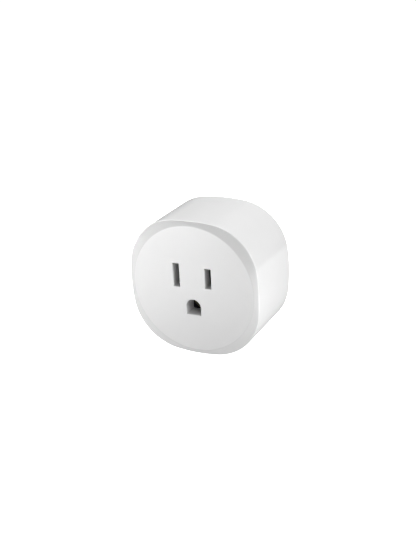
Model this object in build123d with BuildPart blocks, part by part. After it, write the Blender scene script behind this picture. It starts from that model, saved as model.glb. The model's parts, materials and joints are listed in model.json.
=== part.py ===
"""Plug-in power meter: a three-pin pass-through socket with a metering board and a relay inside.

Millimetres, +Z up.  The back of the case lies on the plane y = 0, where the wall outlet is, and the
front face looks along -Y.  A height in this file is a distance in front of that back plane, so
Plane.XZ.offset(height) is a plane at y = -height whose local axes are X and Z, and extrude() goes
forward, away from the wall.  The blades reach to negative heights.
"""

import os
from math import atan2, cos, degrees, radians, sin, sqrt

from build123d import *

# ---- case -------------------------------------------------------------------------------------
body_half = 25.85           # half the width and half the height of the case
side_radius = 70.0          # the large arc of each side, seen from the front
corner_radius = 19.4        # the arc of each corner
body_depth = 30.0           # wall plane to front face
face_radius = 24.1          # the flat round front face
bevel_depth = 0.8           # fall from the round face to the rim of the case
wall = 2.0                  # side wall
front_wall = 2.4
rim_wall = 1.2              # side wall around the rear cover
cover_thickness = 2.2
cover_gap = 0.1             # all round the rear cover
fit_gap = 0.05              # around pieces that are pressed or moulded in place
room = 0.1                  # around pieces that drop into a pocket

# ---- outlet and plug ----------------------------------------------------------------------------
pole_pitch = 12.7           # between the two flat blades
ground_drop = 11.86         # from the blade line down to the ground pin
pole_line = 4.83            # height of the blade line above the middle of the case
slot_width = 2.5
neutral_slot = 9.1          # the wider slot, on the left
hot_slot = 7.65
ground_slot_radius = 2.94
ground_slot_foot = 3.09     # from the ground hole's centre down to its flat foot
slot_passage = 4.2          # length of the moulded passage behind each slot
ground_passage = 6.0
collar_wall = 1.6           # round the ground passage
collar_foot = 1.4           # below it
blade_thickness = 1.5
neutral_blade_width = 7.9
hot_blade_width = 6.3
blade_length = 17.0         # beyond the wall plane
blade_tip = 1.6             # sloped part of the tip
blade_hole_radius = 1.6
blade_hole_place = 11.7     # from the wall plane
pin_radius = 2.4
pin_length = 20.5
collar_step = 0.3           # the ground pin's collar, inside the cover, is wider by this much

# ---- boards --------------------------------------------------------------------------------------
board_thickness = 1.6
board_height = 7.0          # back of the main board
board_gap = 0.5             # main board to the side wall
small_board = 1.0           # thickness of the control board
control_board_face = -16.6  # the face that looks at the button
control_board_half = 8.6
control_board_height = 16.3

# ---- screws and bosses ---------------------------------------------------------------------------
boss_radius = 2.5
boss_sink = 0.3             # a boss runs into the corner wall by this much
case_screw_radius = 1.1
case_screw_length = 8.0
case_head_radius = 2.1
case_head_height = 1.3
case_head_recess = 1.4
carrier_screw_radius = 0.8
carrier_screw_length = 11.0
carrier_head_radius = 1.6
carrier_head_height = 1.2
thread_gap = 0.02
shank_gap = 0.2

# ---- contacts and their carrier ------------------------------------------------------------------
carrier_wall = 1.5
pocket_side = 0.25          # free space beside a contact's flared mouth
pocket_end_wall = 0.9       # in front of the contact pockets
pocket_ends = 0.4           # above and below a contact
carrier_cover_thickness = 2.0
board_to_carrier = 1.0
leaf = 0.5                  # thickness of a contact leaf
leaf_height = 8.4
leaf_root = 0.85            # half the gap between the leaves at the web
leaf_pinch = 0.65           # half the gap where they grip the blade
leaf_mouth = 1.35           # half the gap at the flared mouth
web = 0.6
tail_width = 2.4
tail_thickness = 0.6
socket_wall = 0.5
socket_slit = 0.8
board_tail_reach = 0.8      # tails stand out behind the board by this much

# ---- relay ---------------------------------------------------------------------------------------
relay_gap = 0.7             # carrier to relay
relay_half_width = 4.8
relay_half_height = 8.6
relay_base_thickness = 1.6
relay_wall = 0.6
relay_height = 15.2         # board side of the base to the top of the cover
relay_standoff = 0.2
coil_rise = 6.0             # the coil's axis above the relay's floor
coil_half = 5.4             # half the length of the bobbin
coil_radius = 3.5
bobbin_radius = 2.0
bobbin_flange = 0.8
flange_half = 3.9
core_radius = 1.5
pole_proud = 0.2            # the pole face stands out of the bobbin by this much
yoke_thickness = 1.0
yoke_half_width = 3.2
pole_gap = 0.6              # open gap between the pole face and the armature
armature_thickness = 1.0
armature_rise = 2.2         # the armature's lower edge above the floor
contact_radius = 0.9
contact_rise = 1.05         # the contacts' axis above the floor
contact_gap = 0.92
leaf_spring = 0.3
pin_side = 0.6              # square terminal pins
lead_reach = 1.0            # pins and leads end this far behind the main board

# ---- button and lamp -----------------------------------------------------------------------------
button_radius = 3.0
button_gap = 0.1            # round the button in the side wall
button_height = 16.5
button_travel = 0.25
button_flange = 0.8
button_flange_thickness = 1.2
switch_half = 3.0
switch_depth = 3.4
plunger_radius = 1.7
plunger_out = 1.0
plunger_in = 0.7
lamp_z = 7.0
pipe_radius = 1.0
pipe_flange = 0.6
lamp_height = 1.2

# ---- parts on the boards -------------------------------------------------------------------------
can_radius = 4.0
can_length = 12.5
can_places = [(-9.2, 15.6), (-0.6, 15.6)]
drum_place = (8.2, 15.6)
drum_radius = 3.9
drum_length = 9.0
drum_neck = 1.8
film_size = (12.5, 5.5, 11.0)
film_place = (-7.15, -15.9)
fuse_place = (4.0, -16.4)
fuse_radius = 3.8
fuse_length = 7.6
disc_place = (10.9, -16.8)
disc_radius = 4.2
disc_thickness = 3.4
lead_radius = 0.35
lead_hole_gap = 0.15
part_standoff = 0.3
chip_thickness = 1.45
chip_standoff = 0.15
chip_width = 3.9
chip_lead = 0.4
chip_pitch = 1.27
passive_size = (2.0, 1.25, 0.6)
header_pitch = 2.54
header_pins_count = 5
header_pin = 0.64

# ---- derived places ------------------------------------------------------------------------------
ground_line = pole_line - ground_drop
pole_x = pole_pitch / 2
board_front = board_height + board_thickness
cover_base = board_front + board_to_carrier
carrier_base = cover_base + carrier_cover_thickness
inner_face = body_depth - front_wall
collar_end = body_depth - slot_passage
ground_collar_end = body_depth - ground_passage
carrier_front = collar_end - room
web_height = carrier_base - web - room
side_wall_x = body_half - wall
control_board_back = control_board_face + small_board
control_board_top = board_front + room + control_board_height
rim_height = body_depth - bevel_depth
pin_collar = pin_radius + collar_step
pin_foot = board_height - lead_reach
pocket_half = leaf_mouth + leaf + pocket_side
pocket_height = leaf_height + 2 * pocket_ends
carrier_half = pole_x + pocket_half + carrier_wall
carrier_top = pole_line + pocket_height / 2 + carrier_wall
carrier_bottom = ground_line - ground_slot_foot - collar_foot - room - carrier_wall / 2
relay_cover_half = relay_half_width + room + relay_wall
relay_x = carrier_half + relay_gap + relay_cover_half
relay_foot = board_front + relay_standoff
relay_floor = relay_foot + relay_base_thickness
relay_top = relay_foot + relay_height
coil_height = relay_floor + coil_rise
contact_height = relay_floor + contact_rise
armature_foot = relay_floor + armature_rise

# The outline's arcs: the side arcs are centred on the axes, the corner arcs on the diagonals.
side_centre = body_half - side_radius
apart = side_radius - corner_radius
corner_centre = (side_centre + sqrt(2 * apart**2 - side_centre**2)) / 2
join_angle = degrees(atan2(corner_centre, corner_centre - side_centre))
boss_place = corner_centre + (corner_radius - wall - boss_radius + boss_sink) / sqrt(2)

os.makedirs("parts", exist_ok=True)


# ---- profiles used more than once ----------------------------------------------------------------
def body_outline(inset):
    """The case's rounded square, drawn this far inside the outer wall."""
    with BuildSketch() as face:
        with BuildLine():
            for turn in (0, 90, 180, 270):
                side = Vector(side_centre, 0).rotate(Axis.Z, turn)
                corner = Vector(corner_centre, corner_centre).rotate(Axis.Z, turn)
                CenterArc(side, side_radius - inset, turn - join_angle, 2 * join_angle)
                CenterArc(corner, corner_radius - inset, turn + join_angle, 90 - 2 * join_angle)
        make_face()
    return face.sketch


def arch(radius, foot):
    """The ground opening: round above its centre, straight sides and a flat foot below."""
    with BuildSketch() as face:
        Circle(radius)
        with Locations((0, -foot / 2)):
            Rectangle(2 * radius, foot)
    return face.sketch


def outlet_openings(margin):
    """The three openings of the outlet, each wider all round by this margin."""
    with BuildSketch() as face:
        with Locations((-pole_x, pole_line)):
            Rectangle(slot_width + 2 * margin, neutral_slot + 2 * margin)
        with Locations((pole_x, pole_line)):
            Rectangle(slot_width + 2 * margin, hot_slot + 2 * margin)
        with Locations((0, ground_line)):
            add(arch(ground_slot_radius + margin, ground_slot_foot + margin))
    return face.sketch


def four_corners(place):
    """The four places at plus and minus this distance in both directions."""
    return GridLocations(2 * place, 2 * place, 2, 2)


def save(piece, name):
    """Names a finished piece and writes it to its own file."""
    piece.part.label = name
    export_step(piece.part, "parts/" + name + ".step")


# Ribs on the case press on the front of the main board, and posts on the cover press on its back.
press_half = body_half - wall - 2.6
press_side_z = -12.0
press_reach = sqrt((corner_radius - wall) ** 2 - (press_side_z + corner_centre) ** 2)
press_side_x = corner_centre + press_reach - 1.6
press_points = [
    (0, press_half),
    (0, -press_half),
    (press_side_x, press_side_z),
    (-press_side_x, press_side_z),
]
press_radius = 1.2
carrier_screw_points = [(0, 8.3), (-7.8, -9.5), (7.8, -9.5)]
pipe_x = -(side_centre + sqrt(side_radius**2 - lamp_z**2))

# ---- front housing: one moulding with the face, the side wall, collars, bosses and ribs ----------
guide_gap = 0.1
guide_rib = 0.8
rib_half = 3.0
guide_height = control_board_top - 1.0
with BuildPart() as front_housing:
    with BuildSketch(Plane.XZ):
        add(body_outline(0))
    extrude(amount=rim_height)
    with BuildSketch(Plane.XZ.offset(rim_height)):
        add(body_outline(0))
    with BuildSketch(Plane.XZ.offset(body_depth)):
        Circle(face_radius)
    loft(ruled=True)
    with BuildSketch(Plane.XZ):
        add(body_outline(wall))
    extrude(amount=inner_face, mode=Mode.SUBTRACT)
    with BuildSketch(Plane.XZ):
        add(body_outline(rim_wall))
    extrude(amount=cover_thickness, mode=Mode.SUBTRACT)
    with BuildSketch(Plane.XZ.offset(collar_end)):
        with Locations((0, pole_line)):
            RectangleRounded(2 * pole_x + 6.0, neutral_slot + 3.0, 1.0)
    extrude(amount=inner_face - collar_end)
    with BuildSketch(Plane.XZ.offset(ground_collar_end)):
        with Locations((0, ground_line)):
            add(arch(ground_slot_radius + collar_wall, ground_slot_foot + collar_foot))
    extrude(amount=inner_face - ground_collar_end)
    with BuildSketch(Plane.XZ.offset(cover_thickness)):
        with four_corners(boss_place):
            Circle(boss_radius)
    extrude(amount=inner_face - cover_thickness)
    with BuildSketch(Plane.XZ.offset(board_front + room)):
        with Locations(*press_points):
            Circle(press_radius)
    extrude(amount=inner_face - board_front - room)
    with BuildSketch(Plane.XZ.offset(guide_height)):
        for rib_x in (control_board_face - guide_gap - guide_rib / 2,
                      control_board_back + guide_gap + guide_rib / 2):
            with Locations((rib_x, 0)):
                Rectangle(guide_rib, 2 * rib_half)
    extrude(amount=inner_face - guide_height)
    with BuildSketch(Plane.XZ.offset(ground_collar_end)):
        add(outlet_openings(0))
    extrude(amount=ground_passage, mode=Mode.SUBTRACT)
    with BuildSketch(Plane.XZ.offset(cover_thickness)):
        with four_corners(boss_place):
            Circle(case_screw_radius + thread_gap)
    extrude(amount=case_screw_length + 1.0, mode=Mode.SUBTRACT)
    with BuildSketch(Plane.YZ.offset(-body_half - 1)):
        with Locations((-button_height, 0)):
            Circle(button_radius + button_gap)
        with Locations((-button_height, lamp_z)):
            Circle(pipe_radius + fit_gap)
    extrude(amount=wall + 2, mode=Mode.SUBTRACT)
save(front_housing, "front_housing")

# ---- rear cover: inset plate with the plug's blades through it -----------------------------------
shoulder_height = 1.2
with BuildPart() as rear_cover:
    with BuildSketch(Plane.XZ):
        add(body_outline(rim_wall + cover_gap))
    extrude(amount=cover_thickness)
    with BuildSketch(Plane.XZ.offset(cover_thickness)):
        with Locations(*press_points):
            Circle(press_radius)
    extrude(amount=board_height - cover_thickness)
    with BuildSketch(Plane.XZ):
        with Locations((-pole_x, pole_line)):
            Rectangle(blade_thickness + 2 * fit_gap, neutral_blade_width + 2 * fit_gap)
        with Locations((pole_x, pole_line)):
            Rectangle(blade_thickness + 2 * fit_gap, hot_blade_width + 2 * fit_gap)
        with Locations((0, ground_line)):
            Circle(pin_collar + fit_gap)
        with four_corners(boss_place):
            Circle(case_screw_radius + shank_gap)
    extrude(amount=cover_thickness, mode=Mode.SUBTRACT)
    with BuildSketch(Plane.XZ):
        with four_corners(boss_place):
            Circle(case_head_radius + shank_gap)
    extrude(amount=case_head_recess, mode=Mode.SUBTRACT)
save(rear_cover, "rear_cover")

with BuildPart() as cover_screws:
    with BuildSketch(Plane.XZ.offset(case_head_recess - case_head_height)):
        with four_corners(boss_place):
            Circle(case_head_radius)
    extrude(amount=case_head_height)
    with BuildSketch(Plane.XZ.offset(case_head_recess)):
        with four_corners(boss_place):
            Circle(case_screw_radius)
    extrude(amount=case_screw_length)
    with BuildSketch(Plane.XZ.offset(case_head_recess - case_head_height)):
        with four_corners(boss_place):
            Rectangle(2.4, 0.5)
            Rectangle(0.5, 2.4)
    extrude(amount=0.7, mode=Mode.SUBTRACT)
save(cover_screws, "cover_screws")


# ---- the plug's blades and pin -------------------------------------------------------------------
def plug_blade(side, width):
    """A flat blade: sloped tip, cross hole, shoulder behind the cover and a tab through the board."""
    tip = -blade_length
    tab_low = pole_line + 1.0
    tab_end = board_front + 0.6
    with BuildPart() as blade:
        with BuildSketch(Plane.YZ.offset(side * pole_x - blade_thickness / 2)):
            with Locations((-(tip + cover_thickness) / 2, pole_line)):
                Rectangle(cover_thickness - tip, width)
            with Locations((-cover_thickness - shoulder_height / 2, pole_line)):
                Rectangle(shoulder_height, width + 2.4)
            with Locations((-(cover_thickness + tab_end) / 2, tab_low + tail_width / 2)):
                Rectangle(tab_end - cover_thickness, tail_width)
            with Locations((blade_hole_place, pole_line)):
                Circle(blade_hole_radius, mode=Mode.SUBTRACT)
        extrude(amount=blade_thickness)
        tip_edges = blade.edges().filter_by(Axis.Z).group_by(Axis.Y)[-1]
        chamfer(tip_edges, length=blade_thickness * 0.3, length2=blade_tip)
    return blade


neutral_blade = plug_blade(-1, neutral_blade_width)
save(neutral_blade, "neutral_blade")
hot_blade = plug_blade(1, hot_blade_width)
save(hot_blade, "hot_blade")

pin_flange = 3.6
pin_spigot = 1.5
strap_thickness = 0.6
with BuildPart() as ground_pin:
    with BuildSketch(Plane.XZ.offset(-pin_length)):
        with Locations((0, ground_line)):
            Circle(pin_radius)
    extrude(amount=pin_length)
    fillet(ground_pin.edges().filter_by(GeomType.CIRCLE).sort_by(Axis.Y)[-1], pin_radius * 0.9)
    with BuildSketch(Plane.XZ):
        with Locations((0, ground_line)):
            Circle(pin_collar)
    extrude(amount=cover_thickness)
    with BuildSketch(Plane.XZ.offset(cover_thickness)):
        with Locations((0, ground_line)):
            Circle(pin_flange)
    extrude(amount=shoulder_height)
    with BuildSketch(Plane.XZ.offset(cover_thickness + shoulder_height)):
        with Locations((0, ground_line)):
            Circle(pin_spigot)
    extrude(amount=strap_thickness + 0.8)
save(ground_pin, "ground_pin")

socket_outer = pin_radius + socket_wall
ground_tail_depth = socket_wall - 0.05
ground_tail_z = ground_line - socket_outer + ground_tail_depth / 2
strap_height = cover_thickness + shoulder_height
with BuildPart() as ground_strap:
    with BuildSketch(Plane.XZ.offset(strap_height)):
        with Locations((0, ground_line - 0.8)):
            RectangleRounded(5.6, 7.2, 1.2)
        with Locations((0, ground_line)):
            Circle(pin_spigot + fit_gap, mode=Mode.SUBTRACT)
        with Locations((0, ground_tail_z)):
            Rectangle(tail_width + 2 * room, ground_tail_depth + 2 * room, mode=Mode.SUBTRACT)
    extrude(amount=strap_thickness)
save(ground_strap, "ground_strap")

# ---- contact carrier and its cover ---------------------------------------------------------------
pocket_end = carrier_front - pocket_end_wall
socket_front = ground_collar_end - 0.6
with BuildPart() as contact_carrier:
    with BuildSketch(Plane.XZ.offset(carrier_base)):
        with Locations((0, (carrier_top + carrier_bottom) / 2)):
            RectangleRounded(2 * carrier_half, carrier_top - carrier_bottom, 1.0)
    extrude(amount=carrier_front - carrier_base)
    with BuildSketch(Plane.XZ.offset(carrier_base)):
        with Locations((-pole_x, pole_line), (pole_x, pole_line)):
            Rectangle(2 * pocket_half, pocket_height)
    extrude(amount=pocket_end - carrier_base, mode=Mode.SUBTRACT)
    with BuildSketch(Plane.XZ.offset(carrier_base)):
        with Locations((0, ground_line)):
            Circle(socket_outer + 0.3)
    extrude(amount=socket_front + room - carrier_base, mode=Mode.SUBTRACT)
    with BuildSketch(Plane.XZ.offset(pocket_end)):
        add(outlet_openings(room))
    extrude(amount=carrier_front - pocket_end, mode=Mode.SUBTRACT)
    with BuildSketch(Plane.XZ.offset(socket_front)):
        with Locations((0, ground_line)):
            Circle(ground_slot_radius)
    extrude(amount=carrier_front - socket_front, mode=Mode.SUBTRACT)
    with BuildSketch(Plane.XZ.offset(ground_collar_end - room)):
        with Locations((0, ground_line)):
            add(arch(ground_slot_radius + collar_wall + room, ground_slot_foot + collar_foot + room))
    extrude(amount=carrier_front - ground_collar_end + room, mode=Mode.SUBTRACT)
    with BuildSketch(Plane.XZ.offset(carrier_base)):
        with Locations(*carrier_screw_points):
            Circle(carrier_screw_radius + thread_gap)
    extrude(amount=carrier_screw_length, mode=Mode.SUBTRACT)
save(contact_carrier, "contact_carrier")

tail_z = pole_line - 1.0 - tail_width / 2
with BuildPart() as carrier_cover:
    with BuildSketch(Plane.XZ.offset(cover_base)):
        with Locations((0, (carrier_top + carrier_bottom) / 2)):
            RectangleRounded(2 * carrier_half, carrier_top - carrier_bottom, 1.0)
        with Locations((-pole_x, tail_z), (pole_x, tail_z)):
            Rectangle(tail_thickness + 2 * room, tail_width + 2 * room, mode=Mode.SUBTRACT)
        with Locations((0, ground_line)):
            Circle(socket_outer + 0.3, mode=Mode.SUBTRACT)
        with Locations(*carrier_screw_points):
            Circle(carrier_screw_radius + shank_gap, mode=Mode.SUBTRACT)
    extrude(amount=carrier_cover_thickness)
    with BuildSketch(Plane.XZ.offset(web_height - room)):
        with Locations((-pole_x, pole_line), (pole_x, pole_line)):
            Rectangle(2 * (leaf_root + leaf + room), leaf_height + 2 * room)
    extrude(amount=carrier_base - web_height + room, mode=Mode.SUBTRACT)
save(carrier_cover, "carrier_cover")

carrier_head = board_height - carrier_head_height
with BuildPart() as carrier_screws:
    with BuildSketch(Plane.XZ.offset(carrier_head)):
        with Locations(*carrier_screw_points):
            Circle(carrier_head_radius)
    extrude(amount=carrier_head_height)
    with BuildSketch(Plane.XZ.offset(board_height)):
        with Locations(*carrier_screw_points):
            Circle(carrier_screw_radius)
    extrude(amount=carrier_screw_length)
    with BuildSketch(Plane.XZ.offset(carrier_head)):
        with Locations(*carrier_screw_points):
            Rectangle(1.8, 0.4)
            Rectangle(0.4, 1.8)
    extrude(amount=0.6, mode=Mode.SUBTRACT)
save(carrier_screws, "carrier_screws")


# ---- contacts ------------------------------------------------------------------------------------
def blade_contact(side):
    """A folded strip: two leaves that grip a blade, a web across their root and a tail to the board."""
    mouth = pocket_end - 0.4
    pinch = mouth - 3.0
    root = web_height + web
    with BuildPart() as contact:
        with BuildSketch(Plane.XY.offset(pole_line - leaf_height / 2)):
            for way in (-1, 1):
                with BuildLine():
                    Polyline(
                        (side * pole_x + way * leaf_root, -root),
                        (side * pole_x + way * leaf_pinch, -pinch),
                        (side * pole_x + way * leaf_mouth, -mouth),
                        (side * pole_x + way * (leaf_mouth + leaf), -mouth),
                        (side * pole_x + way * (leaf_pinch + leaf), -pinch),
                        (side * pole_x + way * (leaf_root + leaf), -root),
                        close=True,
                    )
                make_face()
            with Locations((side * pole_x, -(web_height + root) / 2)):
                Rectangle(2 * (leaf_root + leaf), web)
        extrude(amount=leaf_height)
        with BuildSketch(Plane.XZ.offset(board_height - board_tail_reach)):
            with Locations((side * pole_x, tail_z)):
                Rectangle(tail_thickness, tail_width)
        extrude(amount=web_height - board_height + board_tail_reach)
    return contact


neutral_contact = blade_contact(-1)
save(neutral_contact, "neutral_contact")
hot_contact = blade_contact(1)
save(hot_contact, "hot_contact")

socket_rear = carrier_base + 0.6
with BuildPart() as ground_contact:
    with BuildSketch(Plane.XZ.offset(socket_rear)):
        with Locations((0, ground_line)):
            Circle(socket_outer)
            Circle(pin_radius, mode=Mode.SUBTRACT)
    extrude(amount=socket_front - socket_rear)
    with BuildSketch(Plane.XZ.offset(socket_rear + 2.4)):
        with Locations((0, ground_line)):
            Rectangle(2 * socket_outer, socket_slit)
    extrude(amount=socket_front - socket_rear, mode=Mode.SUBTRACT)
    with BuildSketch(Plane.XZ.offset(cover_thickness + shoulder_height)):
        with Locations((0, ground_tail_z)):
            Rectangle(tail_width, ground_tail_depth)
    extrude(amount=socket_rear - cover_thickness - shoulder_height)
save(ground_contact, "ground_contact")

# ---- main board ----------------------------------------------------------------------------------
film_pitch = 10.0
can_pitch = 3.5
drum_pitch = 5.0
fuse_pitch = 5.0
disc_pitch = 5.0
seat = board_front + part_standoff
lead_points = [
    *[(x + way * can_pitch / 2, z) for x, z in can_places for way in (-1, 1)],
    *[(drum_place[0] + way * drum_pitch / 2, drum_place[1]) for way in (-1, 1)],
    *[(film_place[0] + way * film_pitch / 2, film_place[1]) for way in (-1, 1)],
    *[(fuse_place[0] + way * fuse_pitch / 2, fuse_place[1]) for way in (-1, 1)],
    *[(disc_place[0], disc_place[1] + way * disc_pitch / 2) for way in (-1, 1)],
]
header_x = control_board_back + header_pin / 2
header_middle = (header_pins_count - 1) / 2
header_points = [(header_x, header_pitch * (k - header_middle)) for k in range(header_pins_count)]
coil_pin_points = [(relay_x - 3.4, 7.6), (relay_x + 3.4, 7.6)]
yoke_z = coil_half + 0.1
hinge_z = -(coil_half + pole_proud + pole_gap)
moving_face = hinge_z + 0.38
fixed_face = moving_face + contact_gap
yoke_pin = (relay_x, yoke_z + yoke_thickness / 2)
fixed_pin = (relay_x, fixed_face + 0.9)
pin_hole = pin_side * 0.71 + 0.15
shunt_x = relay_x - 2.7
shunt_pitch = 10.0
with BuildPart() as main_board:
    with BuildSketch(Plane.XZ.offset(board_height)):
        add(body_outline(wall + board_gap))
        with four_corners(boss_place):
            Circle(boss_radius + 0.3, mode=Mode.SUBTRACT)
        with Locations((-pole_x, tail_z), (pole_x, tail_z)):
            Rectangle(tail_thickness + 2 * room, tail_width + 2 * room, mode=Mode.SUBTRACT)
        tab_z = pole_line + 1.0 + tail_width / 2
        with Locations((-pole_x, tab_z), (pole_x, tab_z)):
            Rectangle(blade_thickness + 2 * room, tail_width + 2 * room, mode=Mode.SUBTRACT)
        with Locations((0, ground_tail_z)):
            Rectangle(tail_width + 2 * room, ground_tail_depth + 2 * room, mode=Mode.SUBTRACT)
        with Locations(*carrier_screw_points):
            Circle(carrier_screw_radius + shank_gap, mode=Mode.SUBTRACT)
        with Locations(*lead_points):
            Circle(lead_radius + lead_hole_gap, mode=Mode.SUBTRACT)
        with Locations(*header_points, *coil_pin_points, yoke_pin, fixed_pin):
            Circle(pin_hole, mode=Mode.SUBTRACT)
        with Locations((shunt_x, -shunt_pitch / 2), (shunt_x, shunt_pitch / 2)):
            Rectangle(2.4 + 2 * room, 0.8 + 2 * room, mode=Mode.SUBTRACT)
    extrude(amount=board_thickness)
save(main_board, "main_board")

with BuildPart() as component_leads:
    with BuildSketch(Plane.XZ.offset(pin_foot)):
        with Locations(*lead_points):
            Circle(lead_radius)
    extrude(amount=seat - pin_foot)
save(component_leads, "component_leads")

# ---- power supply and protection on the front of the main board ----------------------------------
with BuildPart() as bulk_capacitors:
    with BuildSketch(Plane.XZ.offset(seat)):
        with Locations(*can_places):
            Circle(can_radius)
    extrude(amount=can_length)
    rims = bulk_capacitors.edges().filter_by(GeomType.CIRCLE).group_by(Axis.Y)
    fillet(rims[0] + rims[-1], 0.5)
    with BuildSketch(Plane.XZ.offset(seat + can_length - 0.2)):
        with Locations(*can_places):
            Rectangle(4.4, 0.4)
            Rectangle(0.4, 4.4)
    extrude(amount=0.3, mode=Mode.SUBTRACT)
    with BuildSketch(Plane.XZ.offset(seat + 1.6)):
        with Locations(*can_places):
            Circle(can_radius + 1)
            Circle(can_radius - 0.3, mode=Mode.SUBTRACT)
    extrude(amount=0.5, mode=Mode.SUBTRACT)
save(bulk_capacitors, "bulk_capacitors")

drum_flange = 1.2
with BuildPart() as inductor_core:
    with BuildSketch(Plane.XZ.offset(seat)):
        with Locations(drum_place):
            Circle(drum_radius)
    extrude(amount=drum_flange)
    with BuildSketch(Plane.XZ.offset(seat + drum_flange)):
        with Locations(drum_place):
            Circle(drum_neck)
    extrude(amount=drum_length - 2 * drum_flange)
    with BuildSketch(Plane.XZ.offset(seat + drum_length - drum_flange)):
        with Locations(drum_place):
            Circle(drum_radius)
    extrude(amount=drum_flange)
save(inductor_core, "inductor_core")

with BuildPart() as inductor_winding:
    with BuildSketch(Plane.XZ.offset(seat + drum_flange + fit_gap)):
        with Locations(drum_place):
            Circle(drum_radius - 0.4)
            Circle(drum_neck + fit_gap, mode=Mode.SUBTRACT)
    extrude(amount=drum_length - 2 * drum_flange - 2 * fit_gap)
save(inductor_winding, "inductor_winding")

with BuildPart() as safety_capacitor:
    with BuildSketch(Plane.XZ.offset(seat)):
        with Locations(film_place):
            Rectangle(film_size[0], film_size[1])
    extrude(amount=film_size[2])
    fillet(safety_capacitor.edges().filter_by(Axis.Y), 0.5)
save(safety_capacitor, "safety_capacitor")

with BuildPart() as fuse:
    with BuildSketch(Plane.XZ.offset(seat)):
        with Locations(fuse_place):
            Circle(fuse_radius)
    extrude(amount=fuse_length)
    fillet(fuse.edges().sort_by(Axis.Y)[0], 0.6)
save(fuse, "fuse")

disc_axis = seat + disc_radius + 0.6
with BuildPart() as varistor:
    with BuildSketch(Plane.YZ.offset(disc_place[0] - disc_thickness / 2)):
        with Locations((-disc_axis, disc_place[1])):
            Circle(disc_radius)
        with Locations((-(seat + disc_axis) / 2, disc_place[1])):
            Rectangle(disc_axis - seat, disc_pitch + 1.2)
    extrude(amount=disc_thickness)
save(varistor, "varistor")

# ---- measuring and supply chips on the back of the main board ------------------------------------
chip_top = board_height - chip_standoff
chips = {
    "metering_chip": ((0.0, 1.3), 8),
    "converter_chip": ((6.0, 19.8), 4),
    "bridge_rectifier": ((-6.0, 19.8), 2),
}


def chip_length(leads):
    """The length of a chip's moulding with this many leads on each side."""
    return leads * chip_pitch * 0.97 + (2.2 if leads == 2 else 0.0)


def chip_body(place, leads):
    """A flat moulded chip on the back of the main board."""
    with BuildPart() as chip:
        with BuildSketch(Plane.XZ.offset(chip_top - chip_thickness)):
            with Locations(place):
                Rectangle(chip_width, chip_length(leads))
        extrude(amount=chip_thickness)
        chamfer(chip.faces().sort_by(Axis.Y)[-1].edges(), 0.2)
    return chip


metering_chip = chip_body(*chips["metering_chip"])
save(metering_chip, "metering_chip")
converter_chip = chip_body(*chips["converter_chip"])
save(converter_chip, "converter_chip")
bridge_rectifier = chip_body(*chips["bridge_rectifier"])
save(bridge_rectifier, "bridge_rectifier")

foot_length = 1.05
with BuildPart() as chip_leads:
    for place, leads in chips.values():
        pitch = chip_pitch * (2 if leads == 2 else 1)
        with BuildSketch(Plane.XZ.offset(chip_top - chip_thickness / 2)):
            with Locations(place):
                with GridLocations(chip_width + foot_length, pitch, 2, leads):
                    Rectangle(foot_length, chip_lead)
        extrude(amount=0.2)
        with BuildSketch(Plane.XZ.offset(chip_top - chip_thickness / 2)):
            with Locations(place):
                with GridLocations(chip_width + 2 * foot_length - 0.2, pitch, 2, leads):
                    Rectangle(0.2, chip_lead)
        extrude(amount=chip_thickness / 2 + chip_standoff)
save(chip_leads, "chip_leads")

with BuildPart() as chip_passives:
    with BuildSketch(Plane.XZ.offset(board_height - passive_size[2])):
        with Locations((-13.2, 11.2)):
            with GridLocations(3.0, 2.0, 4, 3):
                Rectangle(passive_size[0], passive_size[1])
    extrude(amount=passive_size[2])
save(chip_passives, "chip_passives")

shunt_height = board_height - 2.2
with BuildPart() as shunt_resistor:
    with BuildSketch(Plane.YZ.offset(shunt_x - 1.2)):
        with Locations((-(shunt_height + 0.4), 0)):
            Rectangle(0.8, shunt_pitch + 0.8)
        for way in (-1, 1):
            with Locations((-(shunt_height + board_front) / 2, way * shunt_pitch / 2)):
                Rectangle(board_front - shunt_height, 0.8)
    extrude(amount=2.4)
save(shunt_resistor, "shunt_resistor")

# ---- relay: base, cover, coil, magnet frame, armature and contacts -------------------------------
hinge_height = coil_height + flange_half + room
with BuildPart() as relay_base:
    with BuildSketch(Plane.XZ.offset(relay_foot)):
        with Locations((relay_x, 0)):
            Rectangle(2 * relay_half_width, 2 * relay_half_height)
        with Locations(*coil_pin_points, yoke_pin, fixed_pin):
            Rectangle(pin_side + 2 * fit_gap, pin_side + 2 * fit_gap, mode=Mode.SUBTRACT)
    extrude(amount=relay_base_thickness)
save(relay_base, "relay_base")

with BuildPart() as relay_cover:
    with BuildSketch(Plane.XZ.offset(relay_foot)):
        with Locations((relay_x, 0)):
            Rectangle(2 * relay_cover_half, 2 * (relay_half_height + room + relay_wall))
    extrude(amount=relay_top - relay_foot)
    fillet(relay_cover.edges().filter_by(Axis.Y), 0.5)
    with BuildSketch(Plane.XZ.offset(relay_foot)):
        with Locations((relay_x, 0)):
            Rectangle(2 * (relay_half_width + room), 2 * (relay_half_height + room))
    extrude(amount=relay_top - relay_wall - relay_foot, mode=Mode.SUBTRACT)
save(relay_cover, "relay_cover")

coil_centre = (relay_x, -coil_height)
with BuildPart() as relay_bobbin:
    with BuildSketch(Plane.XY.offset(-coil_half)):
        with Locations(coil_centre):
            Rectangle(2 * flange_half, 2 * flange_half)
    extrude(amount=bobbin_flange)
    with BuildSketch(Plane.XY.offset(coil_half - bobbin_flange)):
        with Locations(coil_centre):
            Rectangle(2 * flange_half, 2 * flange_half)
    extrude(amount=bobbin_flange)
    with BuildSketch(Plane.XY.offset(-coil_half)):
        with Locations(coil_centre):
            Circle(bobbin_radius)
    extrude(amount=2 * coil_half)
    with BuildSketch(Plane.XY.offset(-coil_half)):
        with Locations(coil_centre):
            Circle(core_radius + fit_gap)
    extrude(amount=2 * coil_half, mode=Mode.SUBTRACT)
save(relay_bobbin, "relay_bobbin")

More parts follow.
